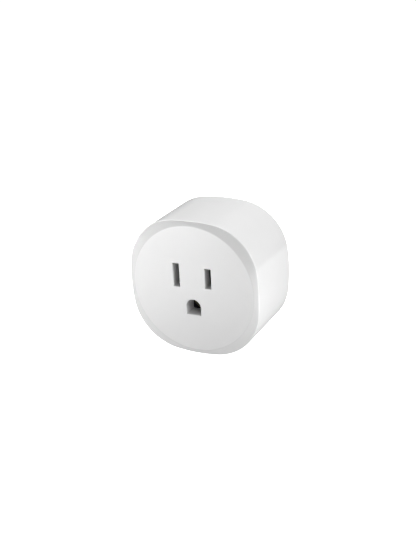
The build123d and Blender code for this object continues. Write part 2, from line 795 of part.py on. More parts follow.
winding_half = coil_half - bobbin_flange - fit_gap
with BuildPart() as relay_winding:
    with BuildSketch(Plane.XY.offset(-winding_half)):
        with Locations(coil_centre):
            Circle(coil_radius)
            Circle(bobbin_radius + fit_gap, mode=Mode.SUBTRACT)
    extrude(amount=2 * winding_half)
save(relay_winding, "relay_winding")

with BuildPart() as relay_core:
    with BuildSketch(Plane.XY.offset(-coil_half - pole_proud)):
        with Locations(coil_centre):
            Circle(core_radius)
    extrude(amount=coil_half + pole_proud + yoke_z + yoke_thickness)
save(relay_core, "relay_core")

yoke_foot = relay_floor + 1.0
with BuildPart() as relay_yoke:
    with BuildSketch(Plane.XZ.offset(yoke_foot)):
        with Locations(yoke_pin):
            Rectangle(2 * yoke_half_width, yoke_thickness)
    extrude(amount=hinge_height + yoke_thickness - yoke_foot)
    with BuildSketch(Plane.XZ.offset(hinge_height)):
        with Locations((relay_x, (hinge_z + yoke_z + yoke_thickness) / 2)):
            Rectangle(2 * yoke_half_width, yoke_z + yoke_thickness - hinge_z)
    extrude(amount=yoke_thickness)
    with BuildSketch(Plane.XZ.offset(pin_foot)):
        with Locations(yoke_pin):
            Rectangle(pin_side, pin_side)
    extrude(amount=yoke_foot - pin_foot)
    with BuildSketch(Plane.XY.offset(yoke_z)):
        with Locations(coil_centre):
            Circle(core_radius + fit_gap)
    extrude(amount=yoke_thickness, mode=Mode.SUBTRACT)
save(relay_yoke, "relay_yoke")

with BuildPart() as relay_armature:
    with BuildSketch(Plane.XZ.offset(armature_foot)):
        with Locations((relay_x, hinge_z - armature_thickness / 2)):
            Rectangle(2 * yoke_half_width, armature_thickness)
    extrude(amount=hinge_height + 2.0 - armature_foot)
save(relay_armature, "relay_armature")

leaf_back = hinge_z - armature_thickness
with BuildPart() as moving_contact:
    with BuildSketch(Plane.XZ.offset(contact_height - contact_radius)):
        with Locations((relay_x, leaf_back - leaf_spring / 2)):
            Rectangle(4.6, leaf_spring)
    extrude(amount=6.0)
    with BuildSketch(Plane.XY.offset(leaf_back)):
        with Locations((relay_x, -contact_height)):
            Circle(contact_radius)
    extrude(amount=moving_face - leaf_back)
save(moving_contact, "moving_contact")

with BuildPart() as fixed_contact:
    with BuildSketch(Plane.XY.offset(fixed_face)):
        with Locations((relay_x, -contact_height)):
            Circle(contact_radius)
    extrude(amount=0.6)
    with BuildSketch(Plane.XZ.offset(relay_floor)):
        with Locations(fixed_pin):
            Rectangle(2.4, pin_side)
    extrude(amount=coil_height - flange_half - room - relay_floor)
    with BuildSketch(Plane.XZ.offset(pin_foot)):
        with Locations(fixed_pin):
            Rectangle(pin_side, pin_side)
    extrude(amount=relay_floor - pin_foot)
save(fixed_contact, "fixed_contact")

with BuildPart() as coil_pins:
    with BuildSketch(Plane.XZ.offset(pin_foot)):
        with Locations(*coil_pin_points):
            Rectangle(pin_side, pin_side)
    extrude(amount=relay_floor + 1.8 - pin_foot)
save(coil_pins, "coil_pins")

# ---- control board with the radio, the switch and the lamp ---------------------------------------
with BuildPart() as control_board:
    with BuildSketch(Plane.YZ.offset(control_board_face)):
        with Locations((-(board_front + room + control_board_top) / 2, 0)):
            Rectangle(control_board_top - board_front - room, 2 * control_board_half)
    extrude(amount=small_board)
save(control_board, "control_board")

header_depth = 2.2
header_height = 2.5
with BuildPart() as board_header:
    with BuildSketch(Plane.XZ.offset(board_front)):
        with Locations((control_board_back + header_depth / 2, 0)):
            Rectangle(header_depth, header_pitch * header_pins_count)
        with Locations(*header_points):
            Rectangle(header_pin + 2 * thread_gap, header_pin + 2 * thread_gap, mode=Mode.SUBTRACT)
    extrude(amount=header_height)
save(board_header, "board_header")

with BuildPart() as header_pins:
    with BuildSketch(Plane.XZ.offset(pin_foot)):
        with Locations(*header_points):
            Rectangle(header_pin, header_pin)
    extrude(amount=board_front + header_height + 1.3 - pin_foot)
save(header_pins, "header_pins")

radio_board_thickness = 0.8
radio_low = board_front + header_height + 1.8
radio_high = guide_height - 0.4
radio_face = control_board_back + radio_board_thickness
shield_depth = 2.4
shield_wall = 0.3
shield_middle = radio_low + 4.6
with BuildPart() as radio_board:
    with BuildSketch(Plane.YZ.offset(control_board_back)):
        with Locations((-(radio_low + radio_high) / 2, 0)):
            Rectangle(radio_high - radio_low, 16.0)
    extrude(amount=radio_board_thickness)
save(radio_board, "radio_board")

with BuildPart() as radio_chip:
    with BuildSketch(Plane.YZ.offset(radio_face)):
        with Locations((-shield_middle, 0)):
            Rectangle(5.0, 5.0)
    extrude(amount=0.9)
save(radio_chip, "radio_chip")

with BuildPart() as radio_shield:
    with BuildSketch(Plane.YZ.offset(radio_face)):
        with Locations((-shield_middle, 0)):
            Rectangle(8.0, 12.0)
    extrude(amount=shield_depth)
    fillet(radio_shield.edges().filter_by(Axis.X), 0.6)
    with BuildSketch(Plane.YZ.offset(radio_face)):
        with Locations((-shield_middle, 0)):
            Rectangle(8.0 - 2 * shield_wall, 12.0 - 2 * shield_wall)
    extrude(amount=shield_depth - shield_wall, mode=Mode.SUBTRACT)
save(radio_shield, "radio_shield")

switch_front = control_board_face - switch_depth
with BuildPart() as switch_body:
    with BuildSketch(Plane.YZ.offset(switch_front)):
        with Locations((-button_height, 0)):
            Rectangle(2 * switch_half, 2 * switch_half)
    extrude(amount=switch_depth)
    with BuildSketch(Plane.YZ.offset(switch_front)):
        with Locations((-button_height, 0)):
            Circle(plunger_radius + fit_gap)
    extrude(amount=plunger_in + button_travel + 0.45, mode=Mode.SUBTRACT)
save(switch_body, "switch_body")

plunger_front = switch_front - plunger_out
with BuildPart() as switch_plunger:
    with BuildSketch(Plane.YZ.offset(plunger_front)):
        with Locations((-button_height, 0)):
            Circle(plunger_radius)
    extrude(amount=plunger_out + plunger_in)
save(switch_plunger, "switch_plunger")

flange_face = -side_wall_x + 0.2
with BuildPart() as button_cap:
    with BuildSketch(Plane.YZ.offset(-body_half)):
        with Locations((-button_height, 0)):
            Circle(button_radius)
    extrude(amount=plunger_front + body_half)
    with BuildSketch(Plane.YZ.offset(flange_face)):
        with Locations((-button_height, 0)):
            Circle(button_radius + button_flange)
    extrude(amount=button_flange_thickness)
    fillet(button_cap.edges().filter_by(GeomType.CIRCLE).sort_by(Axis.X)[0], 0.3)
save(button_cap, "button_cap")

with BuildPart() as status_lamp:
    with BuildSketch(Plane.YZ.offset(control_board_face - lamp_height)):
        with Locations((-button_height, lamp_z)):
            Rectangle(2.0, 1.6)
    extrude(amount=lamp_height)
save(status_lamp, "status_lamp")

pipe_reach = lamp_z + pipe_radius + pipe_flange
pipe_seat = room - side_centre - sqrt((side_radius - wall) ** 2 - pipe_reach**2)
pipe_end = control_board_face - lamp_height - 0.3
with BuildPart() as light_pipe:
    with BuildSketch(Plane.YZ.offset(pipe_x)):
        with Locations((-button_height, lamp_z)):
            Circle(pipe_radius)
    extrude(amount=pipe_end - pipe_x)
    with BuildSketch(Plane.YZ.offset(pipe_seat)):
        with Locations((-button_height, lamp_z)):
            Circle(pipe_radius + pipe_flange)
    extrude(amount=0.8)
save(light_pipe, "light_pipe")
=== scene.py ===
"""The looks of a plug-in power meter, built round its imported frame.

A height is a distance in front of the wall plane, so a point at height h lies at y = -h.  Sizes are in
millimetres until a mesh is made, which is in metres.
"""

import json
import logging
import math
from dataclasses import dataclass, field
from enum import Enum
from typing import Callable, Sequence

import bmesh
import bpy
import numpy as np
from mathutils import Matrix, Vector
from mathutils.geometry import delaunay_2d_cdt


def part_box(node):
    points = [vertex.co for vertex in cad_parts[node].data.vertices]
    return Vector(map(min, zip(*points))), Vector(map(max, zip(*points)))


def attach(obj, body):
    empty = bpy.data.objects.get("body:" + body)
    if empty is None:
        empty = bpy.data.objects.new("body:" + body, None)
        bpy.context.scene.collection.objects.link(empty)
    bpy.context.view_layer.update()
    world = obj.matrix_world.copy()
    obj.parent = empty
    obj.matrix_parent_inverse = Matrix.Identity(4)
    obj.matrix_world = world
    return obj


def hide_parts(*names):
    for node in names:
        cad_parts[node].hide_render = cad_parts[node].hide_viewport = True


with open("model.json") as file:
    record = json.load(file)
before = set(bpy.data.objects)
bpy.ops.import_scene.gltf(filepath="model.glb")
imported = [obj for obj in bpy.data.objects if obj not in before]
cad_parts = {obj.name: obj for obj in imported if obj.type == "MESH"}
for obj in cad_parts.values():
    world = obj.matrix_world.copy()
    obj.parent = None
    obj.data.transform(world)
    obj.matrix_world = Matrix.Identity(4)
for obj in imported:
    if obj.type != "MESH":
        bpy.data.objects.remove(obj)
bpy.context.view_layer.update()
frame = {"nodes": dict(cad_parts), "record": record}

MM = 0.001
TAU = 2 * math.pi
MERGE = 1e-6
Points = np.ndarray
Colour = tuple[float, float, float]
log = logging.getLogger("power_meter")


# ---- outlines and surfaces -----------------------------------------------------------------------
@dataclass(frozen=True)
class Arc:
    """One circular arc of an outline.  A hollow arc bends the other way, so it shrinks as others grow."""

    centre: tuple[float, float]
    radius: float
    start: float
    end: float
    steps: int
    hollow: bool = False
    last: bool = True

    def points(self, grow: float) -> Points:
        """Centre plus radius times the unit circle between the two angles, in degrees."""
        turn = np.radians(np.linspace(self.start, self.end, self.steps + 1))
        turn = turn if self.last else turn[:-1]
        radius = self.radius - grow if self.hollow else self.radius + grow
        return np.array(self.centre) + radius * np.stack([np.cos(turn), np.sin(turn)], 1)


@dataclass(frozen=True)
class Outline:
    """A closed outline of arcs, joined by straight runs where they don't meet."""

    arcs: tuple[Arc, ...]

    def ring(self, grow: float = 0.0) -> Points:
        """The outline's points, moved outwards by grow.

        Args:
            grow: how far outside the true outline the ring lies, in mm.

        Returns:
            An array of one row of two numbers a point.
        """
        return np.concatenate([arc.points(grow) for arc in self.arcs])

    @classmethod
    def disc(cls, centre: tuple[float, float], radius: float, steps: int = 48) -> "Outline":
        """A full circle."""
        return cls((Arc(centre, radius, 0.0, 360.0, steps, last=False),))

    @classmethod
    def slot(cls, centre: tuple[float, float], width: float, height: float,
             corner: float = 0.15, steps: int = 6) -> "Outline":
        """A rectangle with four round corners."""
        x, z = width / 2 - corner, height / 2 - corner
        signs = ((1, 1), (-1, 1), (-1, -1), (1, -1))
        return cls(tuple(
            Arc((centre[0] + sx * x, centre[1] + sz * z), corner, 90.0 * k, 90.0 * (k + 1), steps)
            for k, (sx, sz) in enumerate(signs)
        ))

    @classmethod
    def arch(cls, centre: tuple[float, float], radius: float, foot: float,
             corner: float = 0.2) -> "Outline":
        """Round above its centre, straight sides and a flat foot below."""
        x, z = radius - corner, centre[1] - foot + corner
        return cls((
            Arc(centre, radius, 0.0, 180.0, 40),
            Arc((centre[0] - x, z), corner, 180.0, 270.0, 6),
            Arc((centre[0] + x, z), corner, 270.0, 360.0, 6),
        ))

    @classmethod
    def cross(cls, centre: tuple[float, float], reach: float, half: float, corner: float) -> "Outline":
        """A screw's cross recess: four arms with round ends and hollow corners between them."""
        arcs = []
        for turn in (0.0, 90.0, 180.0, 270.0):
            c, s = math.cos(math.radians(turn)), math.sin(math.radians(turn))
            for u, v, radius, start, end, hollow in (
                (reach - corner, -half + corner, corner, -90.0, 0.0, False),
                (reach - corner, half - corner, corner, 0.0, 90.0, False),
                (half + corner, half + corner, corner, 270.0, 180.0, True),
            ):
                place = (centre[0] + u * c - v * s, centre[1] + u * s + v * c)
                arcs.append(Arc(place, radius, start + turn, end + turn, 3, hollow))
        return cls(tuple(arcs))


def level(ring: Points, height: float | Points) -> Points:
    """Puts a flat ring at a height in front of the wall plane."""
    return np.stack([ring[:, 0], np.zeros(len(ring)) - height, ring[:, 1]], 1)


def inside(points: Points, ring: Points) -> np.ndarray:
    """Which points lie inside a ring, by counting the ring's edges to the right of each.

    Args:
        points: the places to test, one row of two numbers each.
        ring: the closed outline.

    Returns:
        One truth value a point.
    """
    a, b = ring, np.roll(ring, -1, 0)
    px, py = points[:, :1], points[:, 1:]
    spans = (a[:, 1] > py) != (b[:, 1] > py)
    with np.errstate(divide="ignore", invalid="ignore"):
        cut = a[:, 0] + (py - a[:, 1]) * (b[:, 0] - a[:, 0]) / (b[:, 1] - a[:, 1])
    return (np.sum(spans & (px < cut), 1) % 2) == 1


class Skin:
    """A piece's closed surface, gathered strip by strip and made into one mesh."""

    def __init__(self) -> None:
        """Starts empty."""
        self.points: list[Points] = []
        self.faces: list[list[int]] = []
        self.count = 0

    def _add(self, points: Points, faces: np.ndarray) -> None:
        """Adds points, and faces that number them from 0."""
        self.points.append(points)
        self.faces += (faces + self.count).tolist()
        self.count += len(points)

    def strip(self, rings: Sequence[Points], closed: bool = True) -> None:
        """Joins rings of equal length with four-sided faces.

        Args:
            rings: arrays of three numbers a point, in order along the surface.
            closed: whether the last point of each ring joins its first.
        """
        grid = np.stack(rings)
        rows, columns = grid.shape[:2]
        index = np.arange(rows * columns).reshape(rows, columns)
        if closed:
            index = np.concatenate([index, index[:, :1]], 1)
        quads = np.stack([index[:-1, :-1], index[:-1, 1:], index[1:, 1:], index[1:, :-1]], -1)
        self._add(grid.reshape(-1, 3), quads.reshape(-1, 4))

    def fill(self, outer: Points, holes: Sequence[Points], place: Callable[[Points], Points],
             within: Points | None = None) -> None:
        """Fills the area between an outer ring and its holes with triangles.

        Args:
            outer: the outer ring, two numbers a point.
            holes: the rings of the holes.
            place: turns flat points into points of the surface.
            within: more points of the surface, inside the outer ring.
        """
        rings = [outer, *holes]
        starts = np.cumsum([0, *[len(r) for r in rings]])
        edges = np.concatenate([
            np.stack([np.arange(len(r)), np.roll(np.arange(len(r)), -1)], 1) + start
            for r, start in zip(rings, starts)
        ])
        flat = np.concatenate([*rings, np.zeros((0, 2)) if within is None else within])
        found = delaunay_2d_cdt([Vector(p) for p in flat], edges.tolist(), [], 0, 1e-7, True)
        points, faces = np.array(found[0]), np.array(found[2])
        middle = points[faces].mean(1)
        keep = inside(middle, outer)
        for hole in holes:
            keep &= ~inside(middle, hole)
        self._add(place(points), faces[keep])

    def build(self, name: str, smooth_below: float = 40.0) -> bpy.types.Object:
        """Makes the mesh: merges what meets, turns the faces outwards and smooths all but sharp edges.

        Args:
            name: the piece's name.
            smooth_below: edges that turn by less than this many degrees are smooth.

        Returns:
            The new object, at the origin, with its place in its mesh.
        """
        mesh = bpy.data.meshes.new(name)
        mesh.from_pydata(np.concatenate(self.points) * MM, [], self.faces)
        work = bmesh.new()
        work.from_mesh(mesh)
        bmesh.ops.remove_doubles(work, verts=work.verts, dist=MERGE)
        bmesh.ops.dissolve_degenerate(work, dist=MERGE / 10, edges=work.edges)
        bmesh.ops.recalc_face_normals(work, faces=work.faces)
        gaps = sum(not edge.is_manifold for edge in work.edges)
        work.to_mesh(mesh)
        work.free()
        mesh.shade_smooth()
        mesh.set_sharp_from_angle(angle=math.radians(smooth_below))
        piece = bpy.data.objects.new(name, mesh)
        bpy.context.scene.collection.objects.link(piece)
        even = piece.modifiers.new("even_normals", "WEIGHTED_NORMAL")
        even.keep_sharp = True
        log.info("%s: %d faces, %d open edges", name, len(mesh.polygons), gaps)
        return piece


def lathe(origin: tuple[float, float, float], axis: str, profile: Sequence[tuple[float, float]],
          count: int = 48) -> list[Points]:
    """The rings of a turned piece: origin, plus radius round the axis, plus distance along it.

    Args:
        origin: where the axis starts.
        axis: "x", "y" or "z"; a distance along "y" is a height, so it points away from the wall.
        profile: pairs of radius and distance along the axis, from one pole to the other.
        count: points round.

    Returns:
        One ring for each pair.
    """
    turn = np.linspace(0, TAU, count, endpoint=False)
    along, u, v = {
        "x": ((1, 0, 0), (0, 0, 1), (0, -1, 0)),
        "y": ((0, -1, 0), (1, 0, 0), (0, 0, 1)),
        "z": ((0, 0, 1), (1, 0, 0), (0, 1, 0)),
    }[axis]
    circle = np.outer(np.cos(turn), u) + np.outer(np.sin(turn), v)
    return [np.array(origin) + radius * circle + far * np.array(along) for radius, far in profile]


def quarter(count: int = 5) -> tuple[Points, Points]:
    """The two legs of a quarter circle of radius 1: sines from 0 to 1, and one less the cosines."""
    turn = np.linspace(0, math.pi / 2, count)
    return np.sin(turn), 1 - np.cos(turn)


# ---- finishes ------------------------------------------------------------------------------------
class Grain(Enum):
    """The fine relief of a finish."""

    SPARK = "spark-eroded mould texture"
    BRUSHED = "long fine scratches"
    WEAVE = "glass cloth under resin"
    TURNS = "turns of wire"
    CAST = "coarse grains"


@dataclass(frozen=True)
class Graph:
    """A node tree, with short ways to add to it."""

    tree: bpy.types.NodeTree

    def add(self, kind: str, **settings: object) -> bpy.types.Node:
        """A new shader node of a kind, with its settings."""
        node = self.tree.nodes.new("ShaderNode" + kind)
        for name, value in settings.items():
            setattr(node, name, value)
        return node

    def join(self, source: bpy.types.NodeSocket, target: bpy.types.NodeSocket) -> None:
        """Links one socket to another."""
        self.tree.links.new(source, target)

    def product(self, a: bpy.types.NodeSocket, b: bpy.types.NodeSocket) -> bpy.types.NodeSocket:
        """One value times another."""
        node = self.add("Math", operation="MULTIPLY")
        self.join(a, node.inputs[0])
        self.join(b, node.inputs[1])
        return node.outputs["Value"]

    def ramp(self, value: bpy.types.NodeSocket, low: float, high: float) -> bpy.types.NodeSocket:
        """Goes from 0 to 1 as the value, a length, goes from low to high, in millimetres."""
        node = self.add("MapRange")
        node.inputs["From Min"].default_value = low * MM
        node.inputs["From Max"].default_value = high * MM
        self.join(value, node.inputs["Value"])
        return node.outputs["Result"]

    def reach(self, place: bpy.types.NodeSocket) -> bpy.types.NodeSocket:
        """The distance from the case's middle axis: the length of x and z alone."""
        apart, flat = self.add("SeparateXYZ"), self.add("CombineXYZ")
        length = self.add("VectorMath", operation="LENGTH")
        self.join(place, apart.inputs["Vector"])
        self.join(apart.outputs["X"], flat.inputs["X"])
        self.join(apart.outputs["Z"], flat.inputs["Z"])
        self.join(flat.outputs["Vector"], length.inputs[0])
        return length.outputs["Value"]


@dataclass(frozen=True)
class Finish:
    """One surface finish: its colour, gloss, mottling and fine relief.

    A finish with a face_roughness is satin on the flat front face and glossy elsewhere.  A finish with a
    shade factor below 1 has painted shade down in the socket's openings: its colour is that much darker there.
    """

    slot: str
    colour: Colour
    roughness: float
    metallic: float = 0.0
    mottle: float = 0.04
    mottle_size: float = 9.0
    grain: Grain = Grain.SPARK
    grain_size: float = 0.18
    relief: float = 0.004
    coat: float = 0.0
    clear: float = 0.0
    face_roughness: float | None = None
    # Colour factor for painted shade down in the socket's openings; 1 paints none.
    painted_shade_tone: float = 1.0
    ior: float = 1.49

    def material(self) -> bpy.types.Material:
        """Builds the node tree once and returns it again after that."""
        made = bpy.data.materials.get(self.slot + "_finish")
        return made or self._make()

    def _make(self) -> bpy.types.Material:
        """Mottled colour, uneven gloss and bump, all from Object coordinates."""
        made = bpy.data.materials.new(self.slot + "_finish")
        made.use_nodes = True
        graph = Graph(made.node_tree)
        shader = made.node_tree.nodes["Principled BSDF"]
        for name, value in (("Metallic", self.metallic), ("Coat Weight", self.coat), ("Coat Roughness", 0.08),
                            ("Transmission Weight", self.clear), ("IOR", self.ior)):
            shader.inputs[name].default_value = value
        place = graph.add("TexCoord").outputs["Object"]

        cloud = graph.add("TexNoise")
        cloud.inputs["Scale"].default_value = 1 / (self.mottle_size * MM)
        cloud.inputs["Detail"].default_value = 4.0
        graph.join(place, cloud.inputs["Vector"])
        tint = graph.add("ValToRGB")
        for stop, position, change in zip(tint.color_ramp.elements, (0.3, 0.7), (-self.mottle, self.mottle)):
            stop.position = position
            stop.color = (*(min(1.0, c * (1 + change)) for c in self.colour), 1)
        graph.join(cloud.outputs["Fac"], tint.inputs["Fac"])
        colour = tint.outputs["Color"]
        # Painted shade: the colour is darkened down in the socket's openings.
        if self.painted_shade_tone < 1:
            colour = self._painted_opening_shade(graph, place, colour)
        graph.join(colour, shader.inputs["Base Color"])

        gloss = graph.add("MapRange")
        gloss.inputs["To Min"].default_value = self.roughness * 0.85
        gloss.inputs["To Max"].default_value = self.roughness * 1.15
        graph.join(cloud.outputs["Fac"], gloss.inputs["Value"])
        roughness = gloss.outputs["Result"]
        if self.face_roughness is not None:
            roughness = self._satin_face(graph, place, roughness)
        graph.join(roughness, shader.inputs["Roughness"])

        bump = graph.add("Bump")
        bump.inputs["Strength"].default_value = 1.0
        bump.inputs["Distance"].default_value = self.relief * MM
        graph.join(self._relief(graph, place), bump.inputs["Height"])
        graph.join(bump.outputs["Normal"], shader.inputs["Normal"])
        return made

    def _satin_face(self, graph: Graph, place: bpy.types.NodeSocket,
                    roughness: bpy.types.NodeSocket) -> bpy.types.NodeSocket:
        """Blends to the face's roughness inside its round edge."""
        mix = graph.add("Mix")
        graph.join(graph.ramp(graph.reach(place), 24.10, 24.00), mix.inputs["Factor"])
        graph.join(roughness, mix.inputs["A"])
        mix.inputs["B"].default_value = self.face_roughness
        return mix.outputs["Result"]

    def _painted_opening_shade(self, graph: Graph, place: bpy.types.NodeSocket,
                  colour: bpy.types.NodeSocket) -> bpy.types.NodeSocket:
        """Painted shade: multiplies the colour by the shade factor where the wall lies near the axis and below
        the face, down in the openings.
        """
        apart = graph.add("SeparateXYZ")
        graph.join(place, apart.inputs["Vector"])
        below = graph.ramp(apart.outputs["Y"], -29.7, -29.3)
        near = graph.ramp(graph.reach(place), 14.2, 14.0)
        mix = graph.add("Mix", data_type="RGBA", blend_type="MULTIPLY")
        graph.join(graph.product(below, near), mix.inputs["Factor"])
        graph.join(colour, mix.inputs[6])
        mix.inputs[7].default_value = (self.painted_shade_tone, self.painted_shade_tone, self.painted_shade_tone, 1)
        return mix.outputs[2]

    def _relief(self, graph: Graph, place: bpy.types.NodeSocket) -> bpy.types.NodeSocket:
        """The height pattern of the finish's grain."""
        stretch = graph.add("Mapping")
        scale = 1 / (self.grain_size * MM)
        long = scale * 0.04 if self.grain is Grain.BRUSHED else scale
        stretch.inputs["Scale"].default_value = (scale, long, scale)
        graph.join(place, stretch.inputs["Vector"])
        if self.grain in (Grain.WEAVE, Grain.TURNS):
            waves = []
            for direction in ("X", "Z") if self.grain is Grain.WEAVE else ("Z",):
                wave = graph.add("TexWave", bands_direction=direction)
                wave.inputs["Scale"].default_value = 0.5
                wave.inputs["Distortion"].default_value = 0.4
                graph.join(stretch.outputs["Vector"], wave.inputs["Vector"])
                waves.append(wave.outputs["Fac"])
            return waves[0] if len(waves) == 1 else graph.product(*waves)
        cast = self.grain is Grain.CAST
        texture = graph.add("TexVoronoi" if cast else "TexNoise")
        texture.inputs["Scale"].default_value = 1.0
        graph.join(stretch.outputs["Vector"], texture.inputs["Vector"])
        return texture.outputs["Distance" if cast else "Fac"]


FINISHES = {finish.slot: finish for finish in (
    # The case's colour is painted 0.76 as bright down in the socket's openings, as painted shade.
    Finish("case_white", (0.80, 0.80, 0.80), 0.15, mottle=0.006, relief=0.0012, grain_size=0.5,
           face_roughness=0.36, painted_shade_tone=0.76, ior=2.0),
    Finish("cover_white", (0.84, 0.84, 0.84), 0.5, mottle=0.01, relief=0.006, grain_size=0.15),
    Finish("button_white", (0.86, 0.86, 0.86), 0.3, mottle=0.008, relief=0.002),
    Finish("screw_steel", (0.62, 0.62, 0.64), 0.3, 1.0, grain=Grain.BRUSHED, relief=0.002),
    Finish("plated_brass", (0.60, 0.58, 0.53), 0.28, 1.0, mottle=0.05, grain=Grain.BRUSHED,
           grain_size=0.1, relief=0.0015),
    # Socket contacts: brass in hue, but darkened as painted shade for their place down in the openings.
    Finish("contact_brass", (0.30, 0.25, 0.17), 0.42, 1.0, mottle=0.12, grain=Grain.BRUSHED, relief=0.002),
    Finish("contact_silver", (0.84, 0.83, 0.80), 0.28, 1.0, mottle=0.1, relief=0.002),
    Finish("dark_nylon", (0.016, 0.016, 0.017), 0.6, mottle=0.15, relief=0.008),
    Finish("circuit_board", (0.02, 0.13, 0.05), 0.32, mottle=0.2, mottle_size=3.0, grain=Grain.WEAVE,
           grain_size=0.5, relief=0.01, coat=0.4),
    Finish("tinned_wire", (0.75, 0.75, 0.74), 0.3, 1.0, grain=Grain.BRUSHED, relief=0.002),
    Finish("capacitor_sleeve", (0.02, 0.03, 0.09), 0.25, mottle=0.1, coat=0.5),
    Finish("ferrite", (0.035, 0.034, 0.034), 0.7, mottle=0.2, grain=Grain.CAST, relief=0.02),
    Finish("copper_wire", (0.72, 0.30, 0.13), 0.25, 0.9, mottle=0.12, grain=Grain.TURNS,
           grain_size=0.12, relief=0.02, coat=0.6),
    Finish("film_box", (0.55, 0.42, 0.10), 0.45, mottle=0.05, relief=0.006),
    Finish("fuse_brown", (0.10, 0.045, 0.025), 0.4, mottle=0.08, relief=0.006),
    Finish("varistor_blue", (0.02, 0.10, 0.35), 0.3, mottle=0.12, relief=0.02, grain_size=0.8, coat=0.5),
    Finish("chip_black", (0.02, 0.02, 0.021), 0.55, mottle=0.1, relief=0.006),
    Finish("chip_ceramic", (0.30, 0.24, 0.18), 0.5, mottle=0.12, relief=0.006),
    Finish("shunt_alloy", (0.66, 0.52, 0.42), 0.35, 1.0, grain=Grain.BRUSHED, relief=0.003),
    Finish("relay_black", (0.018, 0.018, 0.02), 0.35, mottle=0.1, relief=0.004),
    Finish("bobbin_plastic", (0.60, 0.58, 0.52), 0.45, mottle=0.05),
    Finish("soft_iron", (0.48, 0.47, 0.46), 0.42, 1.0, mottle=0.12, grain=Grain.BRUSHED, relief=0.004),
    Finish("shield_tin", (0.74, 0.75, 0.76), 0.27, 1.0, mottle=0.06, grain=Grain.BRUSHED, relief=0.002),
    Finish("plunger_plastic", (0.03, 0.03, 0.032), 0.4, mottle=0.08),
    Finish("lamp_resin", (0.85, 0.83, 0.70), 0.2, mottle=0.04, clear=0.3, coat=0.5),
    Finish("light_pipe_clear", (0.92, 0.94, 0.95), 0.08, mottle=0.01, relief=0.0005, clear=0.85),
)}


def dress(piece: bpy.types.Object, slot: str, body: str, *stands_for: str) -> None:
    """Gives a new piece its finish, the body it rides on and the CAD nodes that it stands for."""
    piece.data.materials.append(FINISHES[slot].material())
    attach(piece, body)
    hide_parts(*stands_for)


# ---- case ----------------------------------------------------------------------------------------
@dataclass
class CaseShape:
    """The rounded square that the housing and the cover share: eight arcs, drawn from the left side on."""

    half: float = 25.85
    side_radius: float = 70.0
    corner_radius: float = 19.4
    depth: float = 30.0
    wall: float = 2.0
    rim_wall: float = 1.2
    cover_gap: float = 0.1
    side_steps: int = 24
    corner_steps: int = 36
    draw_in: float = field(init=False)
    side_centre: float = field(init=False)
    outline: Outline = field(init=False)

    def __post_init__(self) -> None:
        """Works out the arcs' centres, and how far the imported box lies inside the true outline."""
        low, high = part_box("front_housing")
        packed = min(high.x - low.x, high.z - low.z) / 2 / MM
        self.draw_in = max(0.0, self.half - packed) + 0.002
        self.side_centre = self.half - self.side_radius
        apart = self.side_radius - self.corner_radius
        corner = (self.side_centre + math.sqrt(2 * apart**2 - self.side_centre**2)) / 2
        join = math.degrees(math.atan2(corner, corner - self.side_centre))
        arcs = []
        for turn in (180.0, 270.0, 0.0, 90.0):
            c, s = math.cos(math.radians(turn)), math.sin(math.radians(turn))
            side = (self.side_centre * c, self.side_centre * s)
            square = (corner * (c - s), corner * (s + c))
            arcs += [
                Arc(side, self.side_radius, turn - join, turn + join, self.side_steps, last=False),
                Arc(square, self.corner_radius, turn + join, turn + 90 - join, self.corner_steps, last=False),
            ]
        self.outline = Outline(tuple(arcs))

    def left_side(self, z: Points, inset: float) -> Points:
        """The left wall's x at height z: the large arc's centre less its drop from the circle."""
        return -(self.side_centre + np.sqrt((self.side_radius - inset) ** 2 - z**2))


@dataclass
class OutletShape:
    """The three openings in the face, and how deep their passages run."""

    pole_x: float = 6.35
    pole_line: float = 4.83
    ground_line: float = -7.03
    slot_width: float = 2.5
    neutral: float = 9.1
    hot: float = 7.65
    ground_radius: float = 2.94
    ground_foot: float = 3.09
    slot_passage: float = 4.2
    ground_passage: float = 6.0
    lip: float = 0.22

    def slots(self) -> list[Outline]:
        """The two blade slots."""
        return [
            Outline.slot((side * self.pole_x, self.pole_line), self.slot_width, height)
            for side, height in ((-1, self.neutral), (1, self.hot))
        ]

    def ground(self) -> Outline:
        """The ground opening."""
        return Outline.arch((0.0, self.ground_line), self.ground_radius, self.ground_foot)


